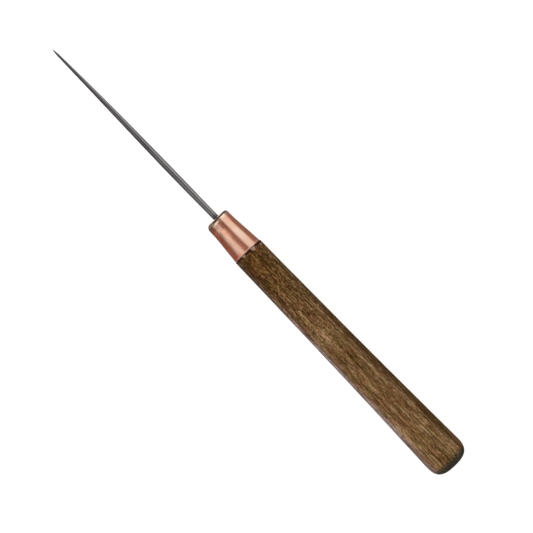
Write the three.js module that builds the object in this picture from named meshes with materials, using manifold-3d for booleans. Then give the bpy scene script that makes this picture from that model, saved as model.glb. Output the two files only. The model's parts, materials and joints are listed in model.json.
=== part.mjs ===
// Scratch awl: a tapered round steel blade, a drawn copper ferrule and a turned wooden handle.
//
// Millimetres, +Z up. The awl lies as it comes to rest on a bench, on the swell of its butt and the
// shoulder of its handle, so the blade hangs clear of the bench and points along +X. The origin is on
// the bench, under the middle of the tool's box.
//
// Each piece is turned about the tool's own axis. A profile is a list of (radius, station) points, and
// a station is the distance along that axis from the flat end of the butt.
import * as THREE from "three";
import { mergeVertices } from "three/addons/utils/BufferGeometryUtils.js";
import Module from "manifold-3d";

const wasm = await Module();
wasm.setup();

// ---- Driving dimensions -------------------------------------------------------------------------

const OVERALL_LENGTH = 190;
const BLADE_LENGTH = 77.5; // from the ferrule's face to the point
const FERRULE_LENGTH = 14.95;
const SEAT_GAP = 0.3; // between the ferrule's rear edge and the handle's shoulder

const BLADE_BELLY_RADIUS = 1.12; // the thickest place, well ahead of the ferrule
const BLADE_BELLY_FROM_POINT = 56;
const BLADE_ROOT_RADIUS = 1.03;
const BLADE_FULLNESS = 0.68; // how far the long taper bulges past a straight one
const POINT_LENGTH = 3.6; // the last stretch is ground down to the point
const POINT_RADIUS = 0.41; // where that stretch starts
const POINT_ROUNDING = 1.8; // 1 would be a plain cone; more is rounder

const TANG_LENGTH = 40; // from the ferrule's face into the handle
const TANG_ROUND_LENGTH = 15; // the stretch that stays round, before the square
const TANG_CORNER_RADIUS = 0.97; // to the corners of the square, where it starts
const TANG_END_RADIUS = 0.5;
const TANG_TIP_RADIUS = 0.15;
const TANG_TIP_LENGTH = 2;

const FERRULE_WALL = 0.5;
const FERRULE_FRONT_RADIUS = 4.5;
const FERRULE_REAR_RADIUS = 5.38;
const FERRULE_CORNER_RADIUS = 1.5; // how far the rounded corner comes in from the collar
const FERRULE_CORNER_LENGTH = 2; // how far back it starts
const FERRULE_COLLAR_LENGTH = 4.3; // the front stretch is nearly a cylinder, and the rest flares
const FERRULE_HOLE_RADIUS = 1.2;

const HANDLE_SHOULDER_RADIUS = 5.55;
const HANDLE_BUTT_RADIUS = 7;
const HANDLE_FLARE_STRAIGHT = 0.42; // share of the flare that is an even taper; the rest is a curve
const SHOULDER_CHAMFER = 0.2;
const NOSE_GAP = 0.1; // between the nose and the ferrule's wall
const NOSE_END_GAP = 0.3; // between the nose and the inside of the ferrule's face
const NOSE_CHAMFER = 1.2;
const BUTT_ROUND_LENGTH = 6.2; // half axis of the rounded end, along the tool
const BUTT_ROUND_POWER = 3; // 2 would be an ellipse; more is squarer
const BUTT_FLAT_RADIUS = 2;

const BORE_CLEARANCE = 0.14; // round the tang
const TANG_POCKET_CLEARANCE = 0.1;

const SIDES = 32; // flats round each turned piece, with one of them facing straight down
const SQUARE_SIDES = 4;

// ---- Stations worked out from them --------------------------------------------------------------

const ferruleFace = OVERALL_LENGTH - BLADE_LENGTH;
const ferruleRear = ferruleFace - FERRULE_LENGTH;
const shoulder = ferruleRear - SEAT_GAP;
const noseEnd = ferruleFace - FERRULE_WALL - NOSE_END_GAP;
const tangSquareStart = ferruleFace - TANG_ROUND_LENGTH;
const tangEnd = ferruleFace - TANG_LENGTH;

// ---- Shaping helpers ----------------------------------------------------------------------------

const at = (radius, station) => new THREE.Vector2(radius, station);

// Points at even steps of a formula that gives a profile point for t from 0 to 1.
const swept = (steps, point) =>
  Array.from({ length: steps + 1 }, (_, i) => point(i / steps));

// A profile turned about the tool's axis. It runs from the butt towards the point.
function turned(profile, sides = SIDES) {
  const geometry = new THREE.LatheGeometry(profile, sides, Math.PI / sides);
  return geometry.rotateZ(-Math.PI / 2);
}

function toSolid(geometry) {
  const bare = geometry.clone();
  bare.deleteAttribute("normal");
  bare.deleteAttribute("uv");
  const merged = mergeVertices(bare);
  return new wasm.Manifold(
    new wasm.Mesh({
      numProp: 3,
      vertProperties: merged.attributes.position.array,
      triVerts: new Uint32Array(merged.index.array),
    }),
  );
}

function toGeometry(solid) {
  const mesh = solid.getMesh();
  const geometry = new THREE.BufferGeometry();
  geometry.setAttribute("position", new THREE.BufferAttribute(mesh.vertProperties, 3));
  geometry.setIndex(new THREE.BufferAttribute(mesh.triVerts, 1));
  geometry.computeVertexNormals();
  return geometry;
}

// ---- Blade: one piece of steel, with its tang ---------------------------------------------------

// The radius of the exposed blade at a distance from the point.
function bladeRadius(fromPoint) {
  if (fromPoint < POINT_LENGTH)
    return POINT_RADIUS * (1 - (1 - fromPoint / POINT_LENGTH) ** POINT_ROUNDING);
  if (fromPoint < BLADE_BELLY_FROM_POINT) {
    const t = (fromPoint - POINT_LENGTH) / (BLADE_BELLY_FROM_POINT - POINT_LENGTH);
    const share = t * (1 + BLADE_FULLNESS * (1 - t));
    return THREE.MathUtils.lerp(POINT_RADIUS, BLADE_BELLY_RADIUS, share);
  }
  const behindBelly =
    (fromPoint - BLADE_BELLY_FROM_POINT) / (BLADE_LENGTH - BLADE_BELLY_FROM_POINT);
  return THREE.MathUtils.lerp(
    BLADE_BELLY_RADIUS,
    BLADE_ROOT_RADIUS,
    THREE.MathUtils.smoothstep(behindBelly, 0, 1),
  );
}

// The square end of the tang, grown by a clearance when it is the pocket that the tang sits in.
function squareTangProfile(clearance, top) {
  const corner = clearance * Math.SQRT2;
  return [
    at(0, tangEnd - clearance),
    at(TANG_TIP_RADIUS + corner, tangEnd - clearance),
    at(TANG_END_RADIUS + corner, tangEnd + TANG_TIP_LENGTH),
    at(TANG_CORNER_RADIUS + corner, top),
    at(0, top),
  ];
}

function bladeGeometry() {
  const behindFace = 0.5; // the taper stops this far inside the ferrule's face
  const exposed = swept(26, (t) => {
    // closer steps towards the point, where the radius changes fastest
    const fromPoint = BLADE_LENGTH * (1 - t) ** 1.6;
    return at(bladeRadius(fromPoint), OVERALL_LENGTH - fromPoint);
  });
  const round = [
    at(0, tangSquareStart),
    at(BLADE_ROOT_RADIUS, tangSquareStart),
    at(BLADE_ROOT_RADIUS, ferruleFace - behindFace),
    ...exposed,
  ];
  const overlap = 0.5;
  const square = squareTangProfile(0, tangSquareStart + overlap);
  return toGeometry(toSolid(turned(round)).add(toSolid(turned(square, SQUARE_SIDES))));
}

// ---- Ferrule: a cup drawn from sheet, with a hole for the blade ---------------------------------

// The outer radius at a depth behind the ferrule's face, past its rounded corner.
function ferruleRadius(depth) {
  if (depth <= FERRULE_COLLAR_LENGTH) return FERRULE_FRONT_RADIUS;
  const flared = (depth - FERRULE_COLLAR_LENGTH) / (FERRULE_LENGTH - FERRULE_COLLAR_LENGTH);
  return THREE.MathUtils.lerp(FERRULE_FRONT_RADIUS, FERRULE_REAR_RADIUS, flared);
}

// One skin of the cup, from its rear edge to its hole: the outer one with inset 0, and the inner one
// with inset equal to the wall.
function ferruleSkin(inset) {
  const wall = [FERRULE_LENGTH, FERRULE_COLLAR_LENGTH].map((depth) =>
    at(ferruleRadius(depth) - inset, ferruleFace - depth),
  );
  const corner = swept(6, (t) => {
    const angle = (t * Math.PI) / 2;
    const inward = (FERRULE_CORNER_RADIUS - inset) * (1 - Math.cos(angle));
    const forward = (FERRULE_CORNER_LENGTH - inset) * Math.sin(angle);
    return at(
      FERRULE_FRONT_RADIUS - inset - inward,
      ferruleFace - FERRULE_CORNER_LENGTH + forward,
    );
  });
  return [...wall, ...corner, at(FERRULE_HOLE_RADIUS, ferruleFace - inset)];
}

function ferruleGeometry() {
  const outer = ferruleSkin(0);
  const inner = ferruleSkin(FERRULE_WALL);
  return turned([...outer, ...inner.reverse(), outer[0]]);
}

// ---- Handle: turned wood, with a nose inside the ferrule and a blind bore for the tang ----------

function handleProfile() {
  const swell = BUTT_ROUND_LENGTH * superellipse(BUTT_FLAT_RADIUS / HANDLE_BUTT_RADIUS);
  const butt = swept(10, (t) => {
    const radius = THREE.MathUtils.lerp(
      BUTT_FLAT_RADIUS,
      HANDLE_BUTT_RADIUS,
      Math.sin((t * Math.PI) / 2),
    );
    return at(radius, swell - BUTT_ROUND_LENGTH * superellipse(radius / HANDLE_BUTT_RADIUS));
  });
  const grip = swept(12, (t) => {
    const share = HANDLE_FLARE_STRAIGHT * t + (1 - HANDLE_FLARE_STRAIGHT) * t * t;
    return at(
      THREE.MathUtils.lerp(HANDLE_SHOULDER_RADIUS, HANDLE_BUTT_RADIUS, share),
      THREE.MathUtils.lerp(shoulder - SHOULDER_CHAMFER, swell, t),
    );
  }).reverse();
  const noseRadius = (station) =>
    ferruleRadius(ferruleFace - station) - FERRULE_WALL - NOSE_GAP;
  const collar = ferruleFace - FERRULE_COLLAR_LENGTH;
  return [
    at(0, 0),
    ...butt,
    ...grip.slice(1),
    at(HANDLE_SHOULDER_RADIUS - SHOULDER_CHAMFER, shoulder),
    at(noseRadius(shoulder), shoulder),
    at(noseRadius(collar), collar),
    at(noseRadius(collar), noseEnd - NOSE_CHAMFER),
    at(noseRadius(collar) - NOSE_CHAMFER, noseEnd),
    at(0, noseEnd),
  ];
}

// How far out a superellipse reaches along one half axis, as a share, at a share of the other.
function superellipse(share) {
  return (1 - share ** BUTT_ROUND_POWER) ** (1 / BUTT_ROUND_POWER);
}

function handleGeometry() {
  const boreRadius = BLADE_ROOT_RADIUS + BORE_CLEARANCE;
  const boreEnd = tangSquareStart - BORE_CLEARANCE;
  const past = 1; // how far the cutter runs out of the nose
  const bore = [
    at(0, boreEnd),
    at(boreRadius, boreEnd),
    at(boreRadius, noseEnd + past),
    at(0, noseEnd + past),
  ];
  const pocket = squareTangProfile(TANG_POCKET_CLEARANCE, tangSquareStart + past);
  const body = toSolid(turned(handleProfile()))
    .subtract(toSolid(turned(bore)))
    .subtract(toSolid(turned(pocket, SQUARE_SIDES)));
  return toGeometry(body);
}

// ---- The awl ------------------------------------------------------------------------------------

const steel = new THREE.MeshStandardMaterial({ color: 0x6e6e70, roughness: 0.4, metalness: 1 });
const copper = new THREE.MeshStandardMaterial({ color: 0xc98468, roughness: 0.25, metalness: 1 });
const wood = new THREE.MeshStandardMaterial({ color: 0x6b4f30, roughness: 0.55, metalness: 0 });

function piece(name, geometry, material) {
  const mesh = new THREE.Mesh(geometry, material);
  mesh.name = name;
  return mesh;
}

const awl = new THREE.Group();
awl.add(
  piece("blade", bladeGeometry(), steel),
  piece("ferrule", ferruleGeometry(), copper),
  piece("handle", handleGeometry(), wood),
);

// Tips the tool forward until its butt and its shoulder both touch the bench, then stands its box on
// the origin.
const flatShare = Math.cos(Math.PI / SIDES); // from the axis to the middle of a flat
awl.rotation.y = Math.asin(
  ((HANDLE_BUTT_RADIUS - HANDLE_SHOULDER_RADIUS) * flatShare) /
    (shoulder - SHOULDER_CHAMFER - BUTT_ROUND_LENGTH),
);
awl.updateMatrixWorld(true);
const box = new THREE.Box3().setFromObject(awl, true);
const centre = box.getCenter(new THREE.Vector3());
awl.position.set(-centre.x, -centre.y, -box.min.z);

export default awl;
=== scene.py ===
"""The looks of a scratch awl: a tapered steel blade, a drawn copper ferrule and a turned, stained
wooden handle, lying on a pale floor.

Every piece is built in the tool's own frame and then placed in the row's frame. The tool's frame is in
millimetres: the first axis runs along the tool from the flat of its butt towards its point (a station),
the second runs sideways and the third up. An angle round the tool starts at the top and grows towards
the second axis.
"""

import json
import math

import bpy
import numpy as np
from mathutils import Matrix, Vector, noise


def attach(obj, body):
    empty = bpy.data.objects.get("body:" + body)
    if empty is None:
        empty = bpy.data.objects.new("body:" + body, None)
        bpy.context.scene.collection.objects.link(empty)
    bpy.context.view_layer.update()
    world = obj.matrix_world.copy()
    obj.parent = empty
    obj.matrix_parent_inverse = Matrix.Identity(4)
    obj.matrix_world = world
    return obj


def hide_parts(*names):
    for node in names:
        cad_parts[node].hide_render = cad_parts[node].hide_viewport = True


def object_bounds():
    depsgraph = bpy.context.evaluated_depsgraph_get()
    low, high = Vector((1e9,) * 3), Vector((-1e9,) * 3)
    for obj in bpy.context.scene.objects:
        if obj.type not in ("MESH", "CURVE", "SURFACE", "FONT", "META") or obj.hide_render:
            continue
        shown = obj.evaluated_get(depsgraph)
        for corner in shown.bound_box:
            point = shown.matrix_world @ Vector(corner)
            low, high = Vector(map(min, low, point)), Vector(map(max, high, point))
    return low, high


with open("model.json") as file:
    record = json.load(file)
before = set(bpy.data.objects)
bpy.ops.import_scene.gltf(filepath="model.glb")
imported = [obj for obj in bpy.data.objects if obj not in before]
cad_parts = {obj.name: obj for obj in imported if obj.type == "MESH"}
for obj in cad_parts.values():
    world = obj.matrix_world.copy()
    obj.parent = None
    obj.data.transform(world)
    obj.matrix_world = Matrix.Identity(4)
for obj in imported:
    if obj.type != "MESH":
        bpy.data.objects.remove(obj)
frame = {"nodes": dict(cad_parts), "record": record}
cad_box = [list(corner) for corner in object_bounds()]

MM = 0.001
SEED = 7
rng = np.random.default_rng(SEED)


# ---- The tool's frame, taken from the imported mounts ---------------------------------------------

mounts = {m["name"]: m for m in frame["record"]["mounts"]}
butt = Vector(mounts["butt_face"]["pos_m"])
along = -Vector(mounts["butt_face"]["axis"]).normalized()
across = Vector((0, 1, 0))
upward = along.cross(across).normalized()
tool_to_row = Matrix.Translation(butt) @ Matrix((along, across, upward)).transposed().to_4x4()


def reach(node):
    """The first and last station of a CAD node and its largest radius, in millimetres."""
    points = np.array([v.co for v in frame["nodes"][node].data.vertices]) - np.array(butt)
    stations = points @ np.array(along)
    radii = np.linalg.norm(points - np.outer(stations, np.array(along)), axis=1)
    return stations.min() / MM, stations.max() / MM, radii.max() / MM


tang_end, point, _ = reach("blade")
ferrule_rear, ferrule_face, ferrule_rear_radius = reach("ferrule")
_, nose_end, butt_radius = reach("handle")


# ---- Sizes that only the looks need, in millimetres ---------------------------------------------

SEAT_GAP = 0.3
SHOULDER_RADIUS = 5.55
FLARE_STRAIGHT = 0.42
BUTT_ROUND_LENGTH = 6.2
BUTT_ROUND_POWER = 3
NOSE_GAP = 0.1
NOSE_REAR_GAP = 0.12
NOSE_CHAMFER = 1.2
BORE_RADIUS = 1.17
POCKET_HALF_SIDE = 0.79
POCKET_END_HALF_SIDE = 0.45

WALL = 0.5
COLLAR_RADIUS = 4.5
CORNER_RADIUS = 1.5
CORNER_LENGTH = 2.0
COLLAR_LENGTH = 4.3
FACE_RADIUS = COLLAR_RADIUS - CORNER_RADIUS
HOLE_RADIUS = 1.2

BELLY_RADIUS = 1.12
BELLY_FROM_POINT = 56
ROOT_RADIUS = 1.03
BLADE_FULLNESS = 0.68
POINT_LENGTH = 3.6
POINT_RADIUS = 0.41
POINT_ROUNDING = 1.8
TANG_ROUND_LENGTH = 15
TANG_HALF_SIDE = 0.68
TANG_END_HALF_SIDE = 0.35
TANG_TIP_HALF_SIDE = 0.1
TANG_TIP_LENGTH = 2
SQUARE_POWER = 6  # how square the tang and its pocket are, where 2 would be round

shoulder = ferrule_rear - SEAT_GAP
tang_square = ferrule_face - TANG_ROUND_LENGTH
blade_length = point - ferrule_face
ferrule_length = ferrule_face - ferrule_rear


# ---- Mesh helpers -------------------------------------------------------------------------------


def smoothstep(low, high, value):
    t = np.clip((value - low) / (high - low), 0, 1)
    return t * t * (3 - 2 * t)


def bell(value, middle, half_width):
    """1 at a middle value, falling smoothly away on both sides."""
    return np.exp(-(((value - middle) / half_width) ** 2))


def perlin(points):
    """Smooth noise from -1 to 1 at an array of points."""
    flat = np.asarray(points, float).reshape(-1, 3)
    values = np.fromiter((noise.noise(p) for p in flat), float, len(flat))
    return values.reshape(np.shape(points)[:-1])


def swells(points, kinds):
    """Smooth relief at an array of points. Each kind is its number of swells to a millimetre along and
    across, its height, and a shift that gives it noise of its own."""
    relief = 0
    for lengthwise, crosswise, height, shift in kinds:
        relief = relief + perlin(points * [lengthwise, crosswise, crosswise] + shift) * height
    return relief


def round_angles(count):
    return np.arange(count) * (2 * math.pi / count)


def angle_between(angles, middle):
    """How far each angle is from a middle one, the short way round."""
    return (angles - middle + math.pi) % (2 * math.pi) - math.pi


def placed(stations, radii, angles):
    """Points in the tool's frame, one row of them for each ring."""
    stations, radii, angles = np.broadcast_arrays(stations, radii, angles)
    return np.stack([stations, radii * np.sin(angles), radii * np.cos(angles)], axis=-1)


def square_section(half_side, angles):
    """The radius of a square with slightly rounded corners, at each angle."""
    c = np.abs(np.cos(angles)) ** SQUARE_POWER
    s = np.abs(np.sin(angles)) ** SQUARE_POWER
    return half_side * (c + s) ** (-1 / SQUARE_POWER)


def skin(name, rings, first_pole, last_pole, ring_attributes=None, sharp=35):
    """A closed piece made of rings of points. It ends in a pole, a station on the axis, at both ends,
    or with poles of None it closes on its own first ring."""
    count, sides, _ = rings.shape
    points = rings.reshape(-1, 3)
    looped = first_pole is None
    rows = count if looped else count - 1
    a = (np.arange(rows)[:, None] * sides) + np.arange(sides)
    b = (np.arange(rows)[:, None] * sides) + (np.arange(sides) + 1) % sides
    up = (np.arange(rows)[:, None] + 1) % count * sides
    c = up + (np.arange(sides) + 1) % sides
    d = up + np.arange(sides)
    faces = [tuple(q) for q in np.stack([a, d, c, b], axis=-1).reshape(-1, 4).tolist()]
    if not looped:
        first, last = len(points), len(points) + 1
        points = np.vstack([points, [first_pole, 0, 0], [last_pole, 0, 0]])
        end = (count - 1) * sides
        for i in range(sides):
            j = (i + 1) % sides
            faces.append((first, i, j))
            faces.append((last, end + j, end + i))
    mesh = bpy.data.meshes.new(name)
    mesh.from_pydata((points * MM).tolist(), [], faces)
    mesh.transform(tool_to_row)
    for key, values in (ring_attributes or {}).items():
        flat = np.zeros(len(points), np.float32)
        flat[: count * sides] = np.broadcast_to(values, (count, sides)).ravel()
        mesh.attributes.new(key, "FLOAT", "POINT").data.foreach_set("value", flat)
    mesh.polygons.foreach_set("use_smooth", [True] * len(mesh.polygons))
    mesh.set_sharp_from_angle(angle=math.radians(sharp))
    mesh.validate()
    mesh.update()
    piece = bpy.data.objects.new(name, mesh)
    bpy.context.scene.collection.objects.link(piece)
    return piece


# ---- Handle -------------------------------------------------------------------------------------

HANDLE_SIDES = 288
DOME_RINGS = 44
DOME_START = 0.02  # the first ring's angle from the middle of the butt
GRIP_RINGS = 232
EDGE_RINGS = 5
POCKET_RINGS = 6
POCKET_STEP = 0.15  # the round bore narrows to the square pocket over this length
POCKET_END_GAP = 0.1

PITH = (-20.0, -34.0)  # where the tree's centre would be, sideways and up from the handle's axis
RING_SPACING = 1.9
MEAN_RADIUS = 6.3

PORE_COUNT = 5200
PORE_HALF_LENGTH = (0.35, 0.9)
PORE_STRETCH = (1, 2.2, 5)
PORE_STRETCH_SHARES = (0.5, 0.35, 0.15)
PORE_HALF_WIDTH = (0.09, 0.19)
PORE_DRIFT = 0.012  # sideways for each millimetre along
PORE_BASE_CHANCE = 0.35  # a pore is kept with this chance, or with more near one phase of a year
PORE_PHASE = 0.3
PORE_PHASE_WIDTH = 0.22
PORE_DEPTH = 0.07

END_PORE_COUNT = 260
END_PORE_SIZE = (0.08, 0.16)
END_PORE_DEPTH = 0.06
END_PORE_DISH = 0.05
END_GRAIN_STATIONS = (1.6, 4.1)  # all end grain before the first, and none past the second

# each kind of relief: swells to a millimetre along and across, height and shift
HANDLE_SWELLS = ((0.035, 0.16, 0.07, 0), (0.11, 0.55, 0.025, 9), (0.06, 1.7, 0.012, 31))
POLE_FADE = 1.6  # relief dies away within this radius of the butt's middle
CHIP_DEPTH = 0.22
CHIP_SET_BACK = 0.12
CHIP_RAGGEDNESS = ((0.6, 1.6, 0.16, 57),)
# where the shoulder is worn to paler wood: the middle and half width of each place in degrees, and how
# far behind the shoulder's edge it lies and reaches, in millimetres
WORN_PLACES = (
    (-21, 12, 0.0, 1.25),
    (22, 8, 0.0, 0.6),
    # the next place lies where the wood shows a faint highlight, so its paler wood is partly a painted
    # highlight
    (-62, 7, 1.0, 0.45),
    (131, 14, 0.0, 0.8),
    (196, 7, 0.0, 0.6),
    (238, 9, 0.0, 0.5),
)
SHOULDER_FORWARD = 0.2  # the wood is seated this much closer to the ferrule than the plain solid is
SHOULDER_ROUNDING = 0.12


def ring_phase(y, z):
    """Where a point lies in its year's growth, from 0 to 1."""
    return (np.hypot(y - PITH[0], z - PITH[1]) / RING_SPACING) % 1


def superellipse(share):
    return (1 - np.clip(share, 0, 1) ** BUTT_ROUND_POWER) ** (1 / BUTT_ROUND_POWER)


def handle_profile():
    """Stations and radii of the handle's rings, and 1 for each that shows and carries relief."""
    dome_angle = np.linspace(DOME_START, math.pi / 2, DOME_RINGS)
    dome_radius = butt_radius * np.sin(dome_angle)
    dome = BUTT_ROUND_LENGTH * (1 - superellipse(dome_radius / butt_radius))
    front = shoulder + SHOULDER_FORWARD
    grip = np.linspace(BUTT_ROUND_LENGTH, front - SHOULDER_ROUNDING, GRIP_RINGS)[1:]
    t = np.clip((shoulder - grip) / (shoulder - BUTT_ROUND_LENGTH), 0, 1)
    flared = FLARE_STRAIGHT * t + (1 - FLARE_STRAIGHT) * t * t
    grip_radius = SHOULDER_RADIUS + (butt_radius - SHOULDER_RADIUS) * flared
    edge = np.linspace(0, math.pi / 2, EDGE_RINGS)[1:]
    edge_station = front - SHOULDER_ROUNDING * (1 - np.sin(edge))
    edge_radius = SHOULDER_RADIUS - SHOULDER_ROUNDING * (1 - np.cos(edge))
    nose_rear = ferrule_rear_radius - WALL - NOSE_REAR_GAP
    nose_front = COLLAR_RADIUS - WALL - NOSE_GAP
    collar = ferrule_face - COLLAR_LENGTH
    inner = [
        (front, nose_rear),
        (collar, nose_front),
        (nose_end - NOSE_CHAMFER, nose_front),
        (nose_end, nose_front - NOSE_CHAMFER),
        (nose_end, BORE_RADIUS),
        (tang_square, BORE_RADIUS),
    ]
    stations = np.concatenate([dome, grip, edge_station, [s for s, _ in inner]])
    radii = np.concatenate([dome_radius, grip_radius, edge_radius, [r for _, r in inner]])
    shown = np.zeros(len(stations))
    shown[: len(dome) + len(grip) + len(edge)] = 1
    return stations, radii, shown


def long_pores(stations, radii, angles):
    """Depth of the open pores, cut lengthwise, at each ring and angle, from 0 to 1."""
    depth = np.zeros((len(stations), len(angles)))
    for _ in range(PORE_COUNT):
        middle = rng.uniform(1, shoulder)
        angle = rng.uniform(0, 2 * math.pi)
        half_length = rng.uniform(*PORE_HALF_LENGTH) * rng.choice(PORE_STRETCH, p=PORE_STRETCH_SHARES)
        half_width = rng.uniform(*PORE_HALF_WIDTH)
        strength = rng.uniform(0.35, 1)
        drift = rng.normal(0, PORE_DRIFT)
        phase = ring_phase(MEAN_RADIUS * math.sin(angle), MEAN_RADIUS * math.cos(angle))
        in_season = bell(phase, PORE_PHASE, PORE_PHASE_WIDTH)
        if rng.uniform() > PORE_BASE_CHANCE + (1 - PORE_BASE_CHANCE) * in_season:
            continue
        rows = np.where(np.abs(stations - middle) < half_length)[0]
        if not len(rows):
            continue
        x = (stations[rows] - middle)[:, None]
        turn = angle_between(angles, angle)[None, :]
        offset = turn * radii[rows][:, None] - drift * x
        window = np.clip(1 - (x / half_length) ** 2, 0, 1) ** 0.5
        pore = strength * window * bell(offset, 0, half_width)
        depth[rows] = np.maximum(depth[rows], pore)
    return depth


def end_pores(points):
    """Depth of the pores that the butt cuts across, at each point, from 0 to 1."""
    depth = np.zeros(points.shape[:-1])
    for _ in range(END_PORE_COUNT):
        r = butt_radius * math.sqrt(rng.uniform())
        angle = rng.uniform(0, 2 * math.pi)
        y, z = r * math.sin(angle), r * math.cos(angle)
        size = rng.uniform(*END_PORE_SIZE)
        away = np.hypot(points[..., 1] - y, points[..., 2] - z)
        depth = np.maximum(depth, bell(away, 0, size))
    return depth


def worn_shoulder(stations, angles, points):
    """How far the stain and the sharp edge are worn off the shoulder, from 0 to 1."""
    worn = np.zeros((len(stations), len(angles)))
    ragged = swells(points, CHIP_RAGGEDNESS)
    for middle, half_width, behind, length in WORN_PLACES:
        turn = angle_between(angles, math.radians(middle))
        round_share = bell(turn, 0, math.radians(half_width))[None, :]
        along_share = bell(stations, shoulder - behind, length)[:, None]
        worn = np.maximum(worn, smoothstep(0.15, 0.85, round_share * along_share + ragged))
    return worn


def make_handle():
    stations, radii, shown = handle_profile()
    angles = round_angles(HANDLE_SIDES)
    bare = placed(stations[:, None], radii[:, None], angles[None, :])
    relief = shown[:, None]
    end_on = (1 - smoothstep(*END_GRAIN_STATIONS, stations)[:, None]) * np.ones_like(bare[..., 0])
    end_on *= relief
    pores = long_pores(stations, radii, angles) * relief * (1 - end_on)
    ends = np.zeros_like(pores)
    ends[:DOME_RINGS] = end_pores(bare[:DOME_RINGS]) * end_on[:DOME_RINGS]
    chips = worn_shoulder(stations, angles, bare) * relief
    carved = PORE_DEPTH * pores + END_PORE_DEPTH * ends + CHIP_DEPTH * chips
    lift = swells(bare, HANDLE_SWELLS) * relief - carved
    fade = smoothstep(0, POLE_FADE, radii)[:, None]
    worn_back = CHIP_SET_BACK * chips
    rings = placed(stations[:, None] - worn_back, radii[:, None] + lift * fade, angles[None, :])
    # the butt's flat is pitted by its pores
    rings[:DOME_RINGS, :, 0] += END_PORE_DISH * ends[:DOME_RINGS]
    pocket_end = tang_end + TANG_TIP_LENGTH
    pocket_stations = np.linspace(tang_square - POCKET_STEP, pocket_end, POCKET_RINGS)
    t = (tang_square - pocket_stations) / (tang_square - tang_end)
    half_sides = POCKET_HALF_SIDE + (POCKET_END_HALF_SIDE - POCKET_HALF_SIDE) * t
    square = square_section(half_sides[:, None], angles[None, :])
    pocket = placed(pocket_stations[:, None], square, angles[None, :])
    rings = np.concatenate([rings, pocket])
    pad = ((0, len(pocket)), (0, 0))
    attributes = {
        "pore": np.pad(np.maximum(pores, ends), pad),
        "chip": np.pad(chips, pad),
        "end_grain": np.pad(end_on, pad),
    }
    return skin("awl_handle", rings, 0.0, tang_end - POCKET_END_GAP, attributes)


# ---- Ferrule ------------------------------------------------------------------------------------

FERRULE_SIDES = 224
OUTER_RINGS = (64, 14)  # along the wall and round the corner
INNER_RINGS = (16, 7)
FACE_RINGS = 6
CORNER_POWER = 2.0
CORNER_POWER_SHARP = 3.3  # the front corner is squarer on one side, where it was pressed less
FERRULE_SWELLS = ((0.12, 0.2, 0.06, 3), (0.3, 0.34, 0.05, 17))
WAIST_DEPTH = 2.3  # behind the face, like every depth of the ferrule's
WAIST_HEIGHT = -0.05
WAIST_LENGTH = 0.45
REAR_LIP_HEIGHT = 0.03
REAR_LIP_LENGTH = 0.35
HOLE_LIP_DEPTH = 0.25
HOLE_LIP_WIDTH = 0.5


def ferrule_radius(depth):
    """The outer radius at a depth behind the ferrule's face, past its corner."""
    flared = np.clip((depth - COLLAR_LENGTH) / (ferrule_length - COLLAR_LENGTH), 0, 1)
    return COLLAR_RADIUS + (ferrule_rear_radius - COLLAR_RADIUS) * flared


def ferrule_skin(inset, wall_rings, corner_rings):
    """Depths and radii of one skin of the cup, from its rear edge to its hole."""
    depths = np.linspace(ferrule_length, CORNER_LENGTH, wall_rings)
    radii = ferrule_radius(depths) - inset
    turn = np.linspace(0, math.pi / 2, corner_rings)[1:]
    corner_depths = CORNER_LENGTH - (CORNER_LENGTH - inset) * np.sin(turn)
    corner_radii = FACE_RADIUS + (CORNER_RADIUS - inset) * np.cos(turn)
    face_radii = np.linspace(FACE_RADIUS, HOLE_RADIUS, FACE_RINGS)[1:]
    face_depths = np.full(len(face_radii), float(inset))
    return (
        np.concatenate([depths, corner_depths, face_depths]),
        np.concatenate([radii, corner_radii, face_radii]),
    )


def squared_corner(depths, radii, is_outer, angles):
    """Depths and radii at each ring and angle, with the outer corner squarer towards one side."""
    in_corner = is_outer & (depths < CORNER_LENGTH) & (radii > FACE_RADIUS)
    forward = np.where(in_corner, (CORNER_LENGTH - depths) / CORNER_LENGTH, 1)[:, None]
    out = np.where(in_corner, (radii - COLLAR_RADIUS) / CORNER_RADIUS + 1, 0)[:, None]
    sharp = smoothstep(0, 0.9, -np.sin(angles))[None, :]
    power = CORNER_POWER + (CORNER_POWER_SHARP - CORNER_POWER) * sharp
    growth = (forward**power + out**power) ** (-1 / power)
    new_depths = CORNER_LENGTH - CORNER_LENGTH * forward * growth
    new_radii = COLLAR_RADIUS + CORNER_RADIUS * (out * growth - 1)
    moved = in_corner[:, None]
    return np.where(moved, new_depths, depths[:, None]), np.where(moved, new_radii, radii[:, None])


def make_ferrule():
    outer_depth, outer_radius = ferrule_skin(0, *OUTER_RINGS)
    inner_depth, inner_radius = ferrule_skin(WALL, *INNER_RINGS)
    # the lip of the hole is pressed in a little
    on_face = outer_depth < 0.01
    pressed_in = HOLE_LIP_DEPTH * bell(outer_radius, HOLE_RADIUS, HOLE_LIP_WIDTH)
    outer_depth = outer_depth + pressed_in * on_face
    depths = np.concatenate([outer_depth, inner_depth[::-1]])
    radii = np.concatenate([outer_radius, inner_radius[::-1]])
    is_outer = np.arange(len(depths)) < len(outer_depth)
    angles = round_angles(FERRULE_SIDES)
    ring_depths, ring_radii = squared_corner(depths, radii, is_outer, angles)
    stations = ferrule_face - ring_depths
    bare = placed(stations, ring_radii, angles[None, :])
    waist = WAIST_HEIGHT * bell(depths, WAIST_DEPTH, WAIST_LENGTH)
    rear_lip = REAR_LIP_HEIGHT * bell(depths, depths.max(), REAR_LIP_LENGTH)
    lift = (swells(bare, FERRULE_SWELLS) + (waist + rear_lip)[:, None]) * is_outer[:, None]
    lift *= smoothstep(HOLE_RADIUS, FACE_RADIUS, radii)[:, None]
    rings = placed(stations, ring_radii + lift, angles[None, :])
    return skin("awl_ferrule", rings, None, None, sharp=50)


# ---- Blade --------------------------------------------------------------------------------------

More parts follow.
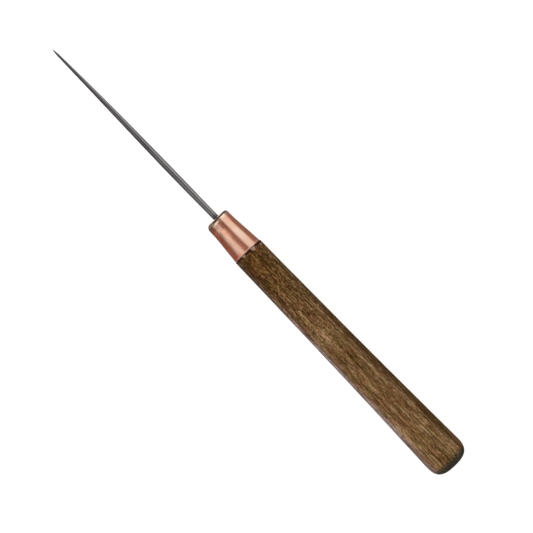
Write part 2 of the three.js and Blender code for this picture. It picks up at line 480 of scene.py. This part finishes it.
BLADE_SIDES = 64
TANG_RINGS = 20
TANG_STEP = 0.05  # the square tang turns round over this length
NECK_RINGS = 14
BLADE_RINGS = 340
RING_CROWDING = 1.25  # the rings stand closer together towards the point
LAST_RING = 0.004  # and this share of the way, before crowding, is left to the point itself
BLADE_SWELLS = ((0.02, 1.1, 0.05, 5), (0.14, 0.9, 0.018, 12))
# how far the blade stands sideways of the tool's axis: at its root, at its point, and by a bow and a
# slight S between them
BLADE_ROOT_ASIDE = -0.165
BLADE_POINT_ASIDE = 0.04
BLADE_BOW = -0.09
BLADE_S_BEND = 0.06


def blade_radius(from_point):
    ground = POINT_RADIUS * (1 - np.clip(1 - from_point / POINT_LENGTH, 0, 1) ** POINT_ROUNDING)
    t = (from_point - POINT_LENGTH) / (BELLY_FROM_POINT - POINT_LENGTH)
    taper = POINT_RADIUS + (BELLY_RADIUS - POINT_RADIUS) * t * (1 + BLADE_FULLNESS * (1 - t))
    behind = smoothstep(BELLY_FROM_POINT, blade_length, from_point)
    root = BELLY_RADIUS + (ROOT_RADIUS - BELLY_RADIUS) * behind
    shaped = np.where(from_point < BELLY_FROM_POINT, taper, root)
    return np.where(from_point < POINT_LENGTH, ground, shaped)


def blade_aside(station):
    """How far the blade's own middle is from the tool's axis, since it isn't set quite straight."""
    exposed = np.clip((station - ferrule_face) / blade_length, 0, 1)
    leaning = BLADE_ROOT_ASIDE + (BLADE_POINT_ASIDE - BLADE_ROOT_ASIDE) * exposed
    bowed = BLADE_BOW * np.sin(math.pi * exposed) + BLADE_S_BEND * np.sin(2 * math.pi * exposed)
    return (leaning + bowed) * smoothstep(tang_end, ferrule_face, station)


def make_blade():
    angles = round_angles(BLADE_SIDES)
    tang_stations = np.linspace(tang_end + TANG_TIP_LENGTH, tang_square, TANG_RINGS)
    t = (tang_square - tang_stations) / (tang_square - tang_end)
    half_sides = TANG_HALF_SIDE + (TANG_END_HALF_SIDE - TANG_HALF_SIDE) * t
    tip = placed([[tang_end]], square_section(TANG_TIP_HALF_SIDE, angles)[None, :], angles[None, :])
    square = square_section(half_sides[:, None], angles[None, :])
    tang = placed(tang_stations[:, None], square, angles[None, :])
    neck_stations = np.linspace(tang_square + TANG_STEP, ferrule_face, NECK_RINGS)[:-1]
    neck = placed(neck_stations[:, None], ROOT_RADIUS, angles[None, :])
    from_point = blade_length * np.linspace(1, LAST_RING, BLADE_RINGS) ** RING_CROWDING
    stations = point - from_point
    radii = blade_radius(from_point)
    bare = placed(stations[:, None], radii[:, None], angles[None, :])
    # hand grinding leaves long, barely seen flats, as shares of the radius
    facets = swells(bare, BLADE_SWELLS)
    exposed = placed(stations[:, None], radii[:, None] * (1 + facets), angles[None, :])
    rings = np.concatenate([tip, tang, neck, exposed])
    rings[..., 1] += blade_aside(rings[..., 0])
    return skin("awl_blade", rings, tang_end, point, sharp=40)


# ---- Material helpers ---------------------------------------------------------------------------


def new_material(name):
    material = bpy.data.materials.new(name)
    material.use_nodes = True
    tree = material.node_tree
    shader = tree.nodes["Principled BSDF"]
    return material, tree, shader


def node(tree, kind, inputs=None, **settings):
    made = tree.nodes.new(kind)
    for key, value in settings.items():
        setattr(made, key, value)
    for key, value in (inputs or {}).items():
        feed(tree, made.inputs[key], value)
    return made


def feed(tree, socket, value):
    if isinstance(value, bpy.types.NodeSocket):
        tree.links.new(value, socket)
    else:
        socket.default_value = value


def calc(tree, operation, *values):
    made = tree.nodes.new("ShaderNodeMath")
    made.operation = operation
    for socket, value in zip(made.inputs, values):
        feed(tree, socket, value)
    return made.outputs[0]


def vector_calc(tree, operation, *values):
    """The outputs of a vector operation: its vector, and then its number."""
    return node(tree, "ShaderNodeVectorMath", dict(enumerate(values)), operation=operation).outputs


def times(tree, first, *others):
    for value in others:
        first = calc(tree, "MULTIPLY", first, value)
    return first


def varied(tree, value, noise_value, amount):
    """value, moved up and down by an amount of noise."""
    return calc(tree, "MULTIPLY_ADD", calc(tree, "SUBTRACT", noise_value, 0.5), amount, value)


def remap(tree, value, low, high, to_low=0.0, to_high=1.0):
    """value from low to high, changed smoothly into to_low to to_high."""
    inputs = {"Value": value, "From Min": low, "From Max": high, "To Min": to_low, "To Max": to_high}
    return node(tree, "ShaderNodeMapRange", inputs, interpolation_type="SMOOTHSTEP").outputs[0]


def band(tree, value, start, full, fading, end):
    """1 where value is between full and fading, and 0 before start and past end."""
    return times(tree, remap(tree, value, start, full), remap(tree, value, end, fading))


def mix(tree, share, a, b, blend="MIX"):
    made = node(tree, "ShaderNodeMix", data_type="RGBA", blend_type=blend)
    feed(tree, made.inputs[0], share)
    feed(tree, made.inputs[6], a)
    feed(tree, made.inputs[7], b)
    return made.outputs[2]


def attribute(tree, name):
    return node(tree, "ShaderNodeAttribute", attribute_name=name).outputs["Fac"]


def tool_position(tree):
    """The shaded point in the tool's frame, in millimetres."""
    row = node(tree, "ShaderNodeTexCoord").outputs["Object"]
    shifted = vector_calc(tree, "SUBTRACT", row, butt)[0]
    axes = (along, across, upward)
    parts = [vector_calc(tree, "DOT_PRODUCT", shifted, axis / MM)[1] for axis in axes]
    return node(tree, "ShaderNodeCombineXYZ", dict(enumerate(parts))).outputs[0]


def square_on(tree, position):
    """The way from the tool's axis straight out to the shaded point."""
    return vector_calc(tree, "MULTIPLY", position, (0, 1, 1))[0]


def facing(tree, position):
    """How far a turned piece faces sideways and up at the shaded point, from -1 to 1."""
    outward = vector_calc(tree, "NORMALIZE", square_on(tree, position))[0]
    return node(tree, "ShaderNodeSeparateXYZ", {0: outward}).outputs[1:3]


def in_cells(tree, position, cell, shift):
    """The position as a number of cells along, across and up, each cell in millimetres."""
    inputs = {"Vector": position, "Location": (shift, shift, shift), "Scale": [1 / c for c in cell]}
    return node(tree, "ShaderNodeMapping", inputs).outputs[0]


def stretched_noise(tree, position, cell, detail=2.0, rough=0.5, shift=0.0):
    """Noise from 0 to 1 whose swells are about one cell long, wide and high."""
    moved = in_cells(tree, position, cell, shift)
    inputs = {"Vector": moved, "Scale": 1.0, "Detail": detail, "Roughness": rough}
    return node(tree, "ShaderNodeTexNoise", inputs).outputs["Fac"]


def bump(tree, height, strength, distance):
    inputs = {"Height": height, "Strength": strength, "Distance": distance * MM}
    return node(tree, "ShaderNodeBump", inputs).outputs[0]


def rgb(red, green, blue):
    """A colour given as 0 to 255 on a screen, as the linear colour a shader takes."""
    def linear(v):
        v /= 255
        return v / 12.92 if v <= 0.04045 else ((v + 0.055) / 1.055) ** 2.4

    return (linear(red), linear(green), linear(blue), 1)


# ---- Stained wood -------------------------------------------------------------------------------

WOOD_RAMP = (
    (0.0, rgb(58, 34, 8)),
    (0.3, rgb(96, 66, 32)),
    (0.52, rgb(126, 96, 60)),
    (0.74, rgb(154, 123, 86)),
    (1.0, rgb(192, 162, 124)),
)
WOOD_RED = rgb(138, 90, 66)
WOOD_OLIVE = rgb(112, 98, 48)
STAIN_DEEP = (0.52, 0.42, 0.24, 1)
# painted shade down one side, and down the other near the ferrule
SIDE_SHADE_TINT = (0.56, 0.48, 0.36, 1)
FERRULE_SHADE_TINT = (0.66, 0.66, 0.72, 1)
# the darker and paler wood of a painted sheen on one side of the handle
SHEEN_PALE = rgb(190, 171, 169)
SHEEN_DARK = rgb(126, 104, 98)
PORE_COLOUR = rgb(32, 16, 4)
# the line where the wood meets the ferrule, darkened by painted shade and dirt
JOINT_SHADE_AND_DIRT = rgb(44, 14, 8)
BARE_WOOD = rgb(190, 158, 138)
# the butt's end grain, near-black: its own darker colour and painted shade
END_GRAIN_AND_SHADE = rgb(28, 43, 43)

# length, width and weight of each kind of figure: broad bands, streaks and flecks
WOOD_FIGURES = (
    (16, 3.0, 0.6),
    (26, 0.65, 0.75),
    (8, 0.45, 0.7),
    (1.2, 0.42, 1.0),
    (0.55, 0.27, 1.1),
    (5, 0.13, 0.7),
    (3.5, 1.4, 0.45),
)
BROAD_FIGURE = 1  # figures at least this wide are bands, which are alike all along the handle
LONG_FIGURE = 2  # narrower ones are streaks if they are longer than this, and flecks if not
# cell, size in it, shift and strength of the finer pores: short ones, thin ones and long ones
WOOD_PORES = (
    ((3.2, 0.5, 0.5), 0.36, 23, 0.8),
    ((2.6, 0.26, 0.26), 0.34, 83, 0.8),
    ((9.5, 0.8, 0.8), 0.3, 47, 1),
)
# stations between which the wood's look changes along the handle
FIGURE_STATIONS = (44, 84)  # from long streaks to short flecks
BOLDER_STATIONS = (50, 84)
PORE_STATIONS = (40, 84)
# where the painted sheen on one side dies away
SHEEN_STATIONS = (62, 84)
# where the painted shade down one side dies away towards the ferrule
SIDE_SHADE_STATIONS = (62, 88)
STAIN_LENGTH = 36
WOOD_SPECULAR = 0.18
WOOD_GLOSS_TINT = (1, 0.66, 0.36, 1)


def ramp(tree, value, stops):
    made = node(tree, "ShaderNodeValToRGB", {"Fac": value})
    elements = made.color_ramp.elements
    while len(elements) < len(stops):
        elements.new(0.5)
    for element, (place, colour) in zip(elements, stops):
        element.position = place
        element.color = colour
    return made.outputs["Color"]


def dashes(tree, position, cell, size, shift):
    """Separate dashes lengthwise in the grain, from 0 to 1, one to a cell, each of its own strength."""
    moved = in_cells(tree, position, cell, shift)
    cells = node(tree, "ShaderNodeTexVoronoi", {"Vector": moved, "Scale": 1.0}).outputs
    strength = node(tree, "ShaderNodeSeparateColor", {"Color": cells["Color"]}).outputs[0]
    inside = remap(tree, cells["Distance"], size, size * 0.4)
    return times(tree, inside, remap(tree, strength, 0.25, 1))


def year_wave(tree, position, split):
    """A wave from -1 to 1 that follows the tree's years, which wander a little along the grain."""
    wander = stretched_noise(tree, position, (22, 9, 9), detail=2)
    y = calc(tree, "SUBTRACT", split[1], PITH[0])
    z = calc(tree, "SUBTRACT", split[2], PITH[1])
    from_pith = calc(tree, "SQRT", calc(tree, "ADD", times(tree, y, y), times(tree, z, z)))
    years = calc(tree, "DIVIDE", varied(tree, from_pith, wander, 1.6), RING_SPACING)
    return calc(tree, "SINE", times(tree, years, 2 * math.pi))


def wood_tone(tree, position, split, sideways):
    """How pale the wood is, from 0 to 1."""
    streaky = remap(tree, split[0], *FIGURE_STATIONS, 1.3, 0.6)
    flecked = remap(tree, split[0], *FIGURE_STATIONS, 0.85, 1.15)
    tone = times(tree, year_wave(tree, position, split), 0.04)
    for number, (length, width, weight) in enumerate(WOOD_FIGURES):
        shift = 6 + 13 * number
        figure = stretched_noise(tree, position, (length, width, width), detail=1, shift=shift)
        if width < BROAD_FIGURE:
            weight = times(tree, streaky if length > LONG_FIGURE else flecked, weight)
        tone = varied(tree, tone, figure, weight)
    # the figure is bolder towards the ferrule, where hands have rubbed stain and dirt into it
    bolder = remap(tree, split[0], *BOLDER_STATIONS, 0.94, 1.6)
    tone = calc(tree, "MULTIPLY_ADD", tone, bolder, 0.52)
    pale = dashes(tree, position, (4.5, 0.62, 0.62), 0.42, 71)
    tone = calc(tree, "MULTIPLY_ADD", pale, 0.16, tone)
    # a band between the top and the side with painted shade is painted paler, as a painted sheen
    sheen_strip = band(tree, sideways, -0.74, -0.62, -0.5, -0.25)
    return calc(tree, "MULTIPLY_ADD", sheen_strip, 0.1, tone)


def wood_pores(tree, position):
    """How far a point is inside a dark pore, from 0 to 1: the carved pores and three finer kinds."""
    dark = attribute(tree, "pore")
    for cell, size, shift, share in WOOD_PORES:
        finer = times(tree, dashes(tree, position, cell, size, shift), share)
        dark = calc(tree, "MAXIMUM", dark, finer)
    return dark


def painted_sheen(tree, colour, position, split, outward, tone):
    """The colour, with a painted sheen of paler, greyer wood in patches on one side, along the rear of
    the handle.
    """
    sideways, upwards = outward
    patchy = stretched_noise(tree, position, (6, 1.2, 1.2), detail=2, shift=61)
    share = times(
        tree,
        remap(tree, sideways, 0.68, 0.96),
        remap(tree, upwards, -0.6, -0.1),
        remap(tree, split[0], *SHEEN_STATIONS, 1, 0),
        remap(tree, patchy, 0.3, 0.66, 0.15, 0.9),
    )
    sheen_wood = mix(tree, remap(tree, tone, 0.25, 0.75), SHEEN_DARK, SHEEN_PALE)
    return mix(tree, share, colour, sheen_wood)


def stained(tree, colour, split, sideways):
    """The colour under its stain, which is deep near the ferrule and less so on one side, with painted
    shade down the sides: near the ferrule on one side, towards the butt on the other.
    """
    near_ferrule = remap(tree, split[0], shoulder - STAIN_LENGTH, shoulder - 5)
    rubbed_again = remap(tree, split[0], shoulder - 4, shoulder, 1, 0.8)
    deep = times(tree, near_ferrule, rubbed_again, remap(tree, sideways, -0.5, -0.8, 1, 0.6))
    colour = mix(tree, deep, colour, STAIN_DEEP, "MULTIPLY")
    # painted shade on one side near the ferrule
    shaded = times(tree, remap(tree, sideways, 0.55, 0.85), near_ferrule)
    colour = mix(tree, shaded, colour, FERRULE_SHADE_TINT, "MULTIPLY")
    # painted shade down the other side, towards the butt
    side_shade = times(tree, remap(tree, sideways, -0.62, -0.9), remap(tree, split[0], *SIDE_SHADE_STATIONS, 1, 0))
    return mix(tree, side_shade, colour, SIDE_SHADE_TINT, "MULTIPLY")


def chipped(tree, colour, position):
    """The colour, with bare fibres showing where the shoulder is worn."""
    chip = attribute(tree, "chip")
    fibres = stretched_noise(tree, position, (0.9, 0.18, 0.18), detail=3, shift=91)
    worn = remap(tree, varied(tree, chip, fibres, 1.8), 0.3, 0.75)
    return mix(tree, times(tree, worn, remap(tree, chip, 0, 0.2), 0.8), colour, BARE_WOOD)


def wood_material():
    material, tree, shader = new_material("stained_wood")
    position = tool_position(tree)
    split = node(tree, "ShaderNodeSeparateXYZ", {0: position}).outputs
    outward = facing(tree, position)
    tone = wood_tone(tree, position, split, outward[0])
    dark = wood_pores(tree, position)

    colour = ramp(tree, tone, WOOD_RAMP)
    hue = stretched_noise(tree, position, (3.6, 1.5, 1.5), detail=3, shift=37)
    colour = mix(tree, remap(tree, hue, 0.5, 0.72, 0, 0.6), colour, WOOD_RED)
    colour = mix(tree, remap(tree, hue, 0.48, 0.28, 0, 0.55), colour, WOOD_OLIVE)
    # a painted sheen in patches on one side
    colour = painted_sheen(tree, colour, position, split, outward, tone)
    pore_share = remap(tree, split[0], *PORE_STATIONS, 0.84, 0.7)
    colour = mix(tree, times(tree, dark, pore_share), colour, PORE_COLOUR)
    colour = stained(tree, colour, split, outward[0])
    # the butt's end grain, painted near-black: its own darker colour and painted shade
    colour = mix(tree, times(tree, attribute(tree, "end_grain"), 0.85), colour, END_GRAIN_AND_SHADE)
    # a dark line where the wood meets the ferrule: painted shade of the gap between them, and dirt
    joint = remap(tree, split[0], shoulder - 0.85, shoulder - 0.35, 0, 0.9)
    colour = mix(tree, joint, colour, JOINT_SHADE_AND_DIRT)
    colour = chipped(tree, colour, position)
    feed(tree, shader.inputs["Base Color"], colour)

    rough = calc(tree, "MULTIPLY_ADD", dark, 0.25, remap(tree, tone, 0.2, 0.8, 0.56, 0.48))
    feed(tree, shader.inputs["Roughness"], rough)
    height = calc(tree, "MULTIPLY_ADD", tone, 0.4, times(tree, dark, -1))
    feed(tree, shader.inputs["Normal"], bump(tree, height, 0.4, 0.06))
    shader.inputs["Specular IOR Level"].default_value = WOOD_SPECULAR
    shader.inputs["Specular Tint"].default_value = WOOD_GLOSS_TINT
    return material


# ---- Copper -------------------------------------------------------------------------------------

# the copper along the painted highlight bands, and redder, for painted dark reflections between them
# and for tarnish
COPPER = rgb(240, 198, 176)
COPPER_RED = rgb(250, 171, 144)
# the paler copper of painted highlights
COPPER_HIGHLIGHT = rgb(244, 214, 196)
COPPER_BROWN = rgb(176, 118, 92)
# a painted dark reflection down one side
COPPER_SIDE_REFLECTION = rgb(240, 140, 112)
# near-black for painted shade
COPPER_DULL = rgb(56, 32, 26)


def painted_highlight_bands(tree, split, depth, cloud):
    """How far aside a point is, as a share of the ferrule's radius there, and the two bands along the
    top where highlights are painted."""
    radius = node(tree, "ShaderNodeMapRange", {
        "Value": depth,
        "From Min": COLLAR_LENGTH,
        "From Max": ferrule_length,
        "To Min": COLLAR_RADIUS,
        "To Max": ferrule_rear_radius,
    }).outputs[0]
    aside = calc(tree, "DIVIDE", varied(tree, split[1], cloud, 0.5), radius)
    left_highlight = band(tree, aside, -0.74, -0.61, -0.28, -0.14)
    right_highlight = band(tree, aside, 0.08, 0.22, 0.54, 0.7)
    return aside, left_highlight, right_highlight


def tarnish_and_reflections(tree, position, aside, highlit, cloud, drawn):
    """The copper's colour: paler along the painted highlight bands, redder between and beside them as
    painted dark reflections, redder still down one side as a painted reflection, with tarnish in clouds
    and a brown film.
    """
    # paler where highlights are painted, redder between them as painted dark reflections
    colour = mix(tree, highlit, COPPER_RED, COPPER)
    # a painted dark red reflection down one side
    colour = mix(tree, remap(tree, aside, 0.6, 0.76), colour, COPPER_SIDE_REFLECTION)
    colour = mix(tree, remap(tree, cloud, 0.5, 0.75, 0, 0.6), colour, COPPER_RED)
    colour = mix(tree, remap(tree, drawn, 0.55, 0.8, 0, 0.4), colour, COPPER_RED)
    film = stretched_noise(tree, position, (2.2, 0.9, 0.9), detail=4, rough=0.6, shift=52)
    film = times(tree, remap(tree, film, 0.5, 0.68, 0, 0.45), remap(tree, highlit, 0, 1, 1, 0.25))
    return mix(tree, film, colour, COPPER_BROWN)


def painted_highlights(tree, colour, depth, left_highlight, lip):
    """The colour, with painted highlights: paler on the front corner, on the rear lip and half way
    along one band.
    """
    colour = mix(tree, remap(tree, depth, 2.3, 1.4, 0, 0.8), colour, COPPER_HIGHLIGHT)
    colour = mix(tree, times(tree, lip, 0.3), colour, COPPER_HIGHLIGHT)
    bright = times(tree, band(tree, depth, 5.5, 7.5, 9, 13), 0.75)
    return mix(tree, times(tree, bright, left_highlight), colour, COPPER_HIGHLIGHT)


def painted_shade_spots(tree, colour, split, depth):
    """The colour, with painted shade behind the corner on one side and a darker patch of painted shade
    on the corner there.
    """
    # painted shade behind the corner on one side
    stain = times(tree, band(tree, depth, 1.6, 2.1, 2.6, 3.6), remap(tree, split[1], 0.5, 1.4, 0, 0.3))
    colour = mix(tree, stain, colour, COPPER_DULL)
    # a darker patch of painted shade on the corner
    shade_spot = times(tree, band(tree, depth, 0.9, 1.1, 1.7, 2.3), remap(tree, split[1], 2.8, 3.2, 0, 0.55))
    return mix(tree, shade_spot, colour, COPPER_DULL)


def front_shade(tree, position, split, depth, cloud):
    """Where the face is darkened with painted shade, and a little further back in places."""
    darkened = varied(tree, depth, cloud, 1.2)
    # the painted shade is lighter towards one side
    darkened = calc(tree, "ADD", darkened, remap(tree, split[1], 1.2, 3, -0.2, 0.2))
    face_shade = remap(tree, darkened, 0.75, 0.35, 0, 0.92)
    # the rim of the face is left bright, without the painted shade, less and less towards its squarer
    # side
    radius = vector_calc(tree, "LENGTH", square_on(tree, position))[1]
    rim = times(
        tree,
        remap(tree, radius, FACE_RADIUS - 0.1, FACE_RADIUS),
        remap(tree, depth, 0.25, 0.1),
        remap(tree, varied(tree, split[1], cloud, 4), -3.2, -0.4),
    )
    return times(tree, face_shade, calc(tree, "SUBTRACT", 1, rim))


def copper_material():
    material, tree, shader = new_material("drawn_copper")
    position = tool_position(tree)
    split = node(tree, "ShaderNodeSeparateXYZ", {0: position}).outputs
    depth = calc(tree, "SUBTRACT", ferrule_face, split[0])
    drawn = stretched_noise(tree, position, (6, 0.5, 0.5), detail=3, rough=0.6)
    cloud = stretched_noise(tree, position, (3.5, 2.0, 2.0), detail=3, shift=8)
    scratch = stretched_noise(tree, position, (2.5, 0.07, 0.07), detail=2, rough=0.7, shift=15)
    aside, left_highlight, right_highlight = painted_highlight_bands(tree, split, depth, cloud)
    highlit = calc(tree, "MAXIMUM", left_highlight, right_highlight)
    lip = remap(tree, depth, ferrule_length - 0.7, ferrule_length - 0.3)
    face_shade = front_shade(tree, position, split, depth, cloud)

    colour = tarnish_and_reflections(tree, position, aside, highlit, cloud, drawn)
    colour = painted_highlights(tree, colour, depth, left_highlight, lip)
    colour = painted_shade_spots(tree, colour, split, depth)
    # painted shade on the front face
    feed(tree, shader.inputs["Base Color"], mix(tree, face_shade, colour, COPPER_DULL))

    rough = calc(tree, "MULTIPLY_ADD", scratch, 0.14, remap(tree, cloud, 0.3, 0.7, 0.11, 0.21))
    rough = calc(tree, "MULTIPLY_ADD", face_shade, 0.25, rough)
    rough = calc(tree, "MULTIPLY_ADD", lip, 0.22, rough)
    rough = calc(tree, "ADD", rough, remap(tree, depth, 8, 12, 0, 0.05))
    feed(tree, shader.inputs["Roughness"], rough)
    height = calc(tree, "MULTIPLY_ADD", drawn, 0.6, times(tree, scratch, 0.4))
    feed(tree, shader.inputs["Normal"], bump(tree, height, 0.3, 0.02))
    shader.inputs["Metallic"].default_value = 1
    return material


# ---- Steel --------------------------------------------------------------------------------------

STEEL = rgb(146, 148, 152)
STEEL_DARK = rgb(94, 95, 100)
STEEL_BLUE = rgb(92, 94, 112)
STEEL_BRIGHT = rgb(176, 177, 180)
# painted shade at the blade's root
STEEL_ROOT_SHADE = rgb(50, 44, 42)
DARKENING_STATIONS = (128, 152)
ROOT_SHADE_LENGTH = 2.2
DARK_TIP_LENGTH = 14


def steel_material():
    material, tree, shader = new_material("ground_steel")
    position = tool_position(tree)
    split = node(tree, "ShaderNodeSeparateXYZ", {0: position}).outputs
    grind = stretched_noise(tree, position, (7, 0.09, 0.09), detail=3, rough=0.65)
    cloud = stretched_noise(tree, position, (9, 1.2, 1.2), detail=3, shift=5)
    # the blade is darker in clouds, more and more from a little way past its root towards the point
    darkening = calc(tree, "ADD", remap(tree, split[0], *DARKENING_STATIONS, 0, 0.3), cloud)
    colour = mix(tree, remap(tree, darkening, 0.42, 0.95, 0, 0.9), STEEL, STEEL_DARK)
    colour = mix(tree, remap(tree, grind, 0.5, 0.85, 0, 0.6), colour, STEEL_DARK)
    hue = stretched_noise(tree, position, (5, 3, 3), detail=2, shift=29)
    colour = mix(tree, remap(tree, hue, 0.62, 0.8, 0, 0.5), colour, STEEL_BLUE)
    # one side of it is painted brighter and the other darker, as painted light and shade
    colour = mix(tree, remap(tree, split[1], -0.1, -0.6, 0, 0.5), colour, STEEL_BRIGHT)
    colour = mix(tree, remap(tree, split[1], -0.1, 0.4, 0, 0.35), colour, STEEL_DARK)
    # painted shade on the blade's root, next to the ferrule
    root = remap(tree, split[0], ferrule_face + ROOT_SHADE_LENGTH, ferrule_face, 0, 0.75)
    colour = mix(tree, root, colour, STEEL_ROOT_SHADE)
    tip = remap(tree, split[0], point - DARK_TIP_LENGTH, point, 0, 0.55)
    colour = mix(tree, tip, colour, STEEL_DARK)
    feed(tree, shader.inputs["Base Color"], colour)
    feed(tree, shader.inputs["Roughness"], remap(tree, grind, 0.3, 0.8, 0.24, 0.36))
    feed(tree, shader.inputs["Normal"], bump(tree, grind, 0.4, 0.02))
    shader.inputs["Metallic"].default_value = 1
    return material


# ---- The pieces ---------------------------------------------------------------------------------

for make, material, cad_node, slot in (
    (make_blade, steel_material, "blade", "blade_steel"),
    (make_ferrule, copper_material, "ferrule", "ferrule_copper"),
    (make_handle, wood_material, "handle", "handle_wood"),
):
    piece = make()
    piece.data.materials.append(material())
    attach(piece, "root")
    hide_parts(cad_node)


# ---- Floor, light and camera --------------------------------------------------------------------

FLOOR_SIZE = 6.0
PICTURE_WIDTH = 0.17466  # what the camera sees across, at the awl
LENS = 200
SENSOR = 36
CAMERA_TURN = math.radians(-134.02)
# how far the picture's middle is to the right of the awl's middle and below it, in the picture
CAMERA_RIGHT = 0.004388
CAMERA_DOWN = 0.003152
AIM_HEIGHT = 0.006  # the lights are aimed at this height above the floor
CLIP_START = 0.01
FLOOR_COLOUR = (0.35, 0.35, 0.35, 1)
FLOOR_GLOW = 0.86
ROOM_COLOUR = (0.265, 0.24, 0.215, 1)  # the weak light on the awl from all round
SKY_COLOUR = (0.95, 0.95, 0.95, 1)  # what the camera sees past the floor


def make_floor():
    mesh = bpy.data.meshes.new("floor")
    half = FLOOR_SIZE / 2
    corners = [(-half, -half, 0), (half, -half, 0), (half, half, 0), (-half, half, 0)]
    mesh.from_pydata(corners, [], [(0, 1, 2, 3)])
    floor = bpy.data.objects.new("floor", mesh)
    bpy.context.scene.collection.objects.link(floor)
    material = bpy.data.materials.new("pale_floor")
    material.use_nodes = True
    tree = material.node_tree
    tree.nodes.clear()
    lit = node(tree, "ShaderNodeBsdfDiffuse", {"Color": FLOOR_COLOUR}).outputs[0]
    glow = node(tree, "ShaderNodeEmission", {"Color": (1, 1, 1, 1), "Strength": FLOOR_GLOW}).outputs[0]
    bright = node(tree, "ShaderNodeAddShader", {0: lit, 1: glow}).outputs[0]
    node(tree, "ShaderNodeOutputMaterial", {"Surface": bright})
    mesh.materials.append(material)
    # the floor is only a backdrop: the awl neither reflects it nor is shaded by it
    floor.visible_diffuse = False
    floor.visible_glossy = False
    floor.visible_transmission = False
    floor.visible_shadow = False


def make_world():
    world = bpy.data.worlds.new("studio")
    world.use_nodes = True
    tree = world.node_tree
    tree.nodes.clear()
    is_camera = node(tree, "ShaderNodeLightPath").outputs["Is Camera Ray"]
    colour = mix(tree, is_camera, ROOM_COLOUR, SKY_COLOUR)
    sky = node(tree, "ShaderNodeBackground", {"Color": colour}).outputs[0]
    node(tree, "ShaderNodeOutputWorld", {"Surface": sky})
    bpy.context.scene.world = world


def panel(
    name, towards, from_angle, to_angle, radiance, distance, first, last, in_gloss=True, in_matt=True
):
    """A soft light that spans two angles from straight up, towards a level direction. It reaches from
    first to last, in metres, along the level line that crosses that direction."""
    middle = math.radians((from_angle + to_angle) / 2)
    width = 2 * distance * math.tan(math.radians(to_angle - from_angle) / 2)
    light = bpy.data.lights.new(name, "AREA")
    light.shape = "RECTANGLE"
    light.size = last - first
    light.size_y = width
    light.energy = math.pi * width * light.size
    light.color = radiance
    lamp = bpy.data.objects.new(name, light)
    bpy.context.scene.collection.objects.link(lamp)
    level = Vector(towards).normalized()
    away = level * math.sin(middle) + Vector((0, 0, math.cos(middle)))
    # the light's own X runs along its reach and its Z points away from the awl
    reach_line = Vector((abs(level.y), abs(level.x), 0))
    turned = Matrix((reach_line, away.cross(reach_line), away)).transposed()
    centre = Vector((0, 0, AIM_HEIGHT)) + away * distance + reach_line * (first + last) / 2
    lamp.matrix_world = Matrix.Translation(centre) @ turned.to_4x4()
    lamp.visible_camera = False
    lamp.visible_glossy = in_gloss
    lamp.visible_diffuse = in_matt


def make_camera():
    data = bpy.data.cameras.new("camera")
    data.lens = LENS
    data.sensor_width = SENSOR
    data.clip_start = CLIP_START
    camera = bpy.data.objects.new("camera", data)
    bpy.context.scene.collection.objects.link(camera)
    low, high = (Vector(corner) for corner in cad_box)
    middle = (low + high) / 2
    right = Vector((math.cos(CAMERA_TURN), math.sin(CAMERA_TURN), 0))
    up = Vector((-math.sin(CAMERA_TURN), math.cos(CAMERA_TURN), 0))
    axis_height = (butt + along * (point / 2 * MM)).z
    distance = PICTURE_WIDTH * LENS / SENSOR
    centre = Vector((middle.x, middle.y, axis_height)) + right * CAMERA_RIGHT - up * CAMERA_DOWN
    raised = Matrix.Translation(centre + Vector((0, 0, distance)))
    camera.matrix_world = raised @ Matrix.Rotation(CAMERA_TURN, 4, "Z")
    bpy.context.scene.camera = camera


make_floor()
make_world()
panel("side_light", (0, -1, 0), 28, 87, (0.67, 0.66, 0.65), 0.6, -0.7, 0.7)
panel("top_light", (0, 1, 0), 18.5, 70, (0.545, 0.505, 0.495), 0.3, -0.4, 0.08)
panel("end_light", (1, 0, 0), 16, 50, (0.80, 0.80, 0.78), 0.6, 0.05, 0.7)
panel("rim_light", (0, 1, 0), 95, 140, (2.4, 2.4, 3.1), 0.25, -0.1, -0.02, in_matt=False)
panel("front_light", (1, 0, 0), 95, 140, (1.5, 1.7, 1.9), 0.25, -0.1, 0.1, in_matt=False)
panel("corner_light", (0.75, -0.66, 0), 50, 92, (0.5, 0.44, 0.42), 0.5, -0.22, 0.22, in_matt=False)
panel("fill_light", (0, 1, 0), -10, 80, (0.57, 0.54, 0.52), 0.8, -0.8, 0.8, in_gloss=False)
make_camera()

bpy.context.scene.view_settings.view_transform = "Standard"
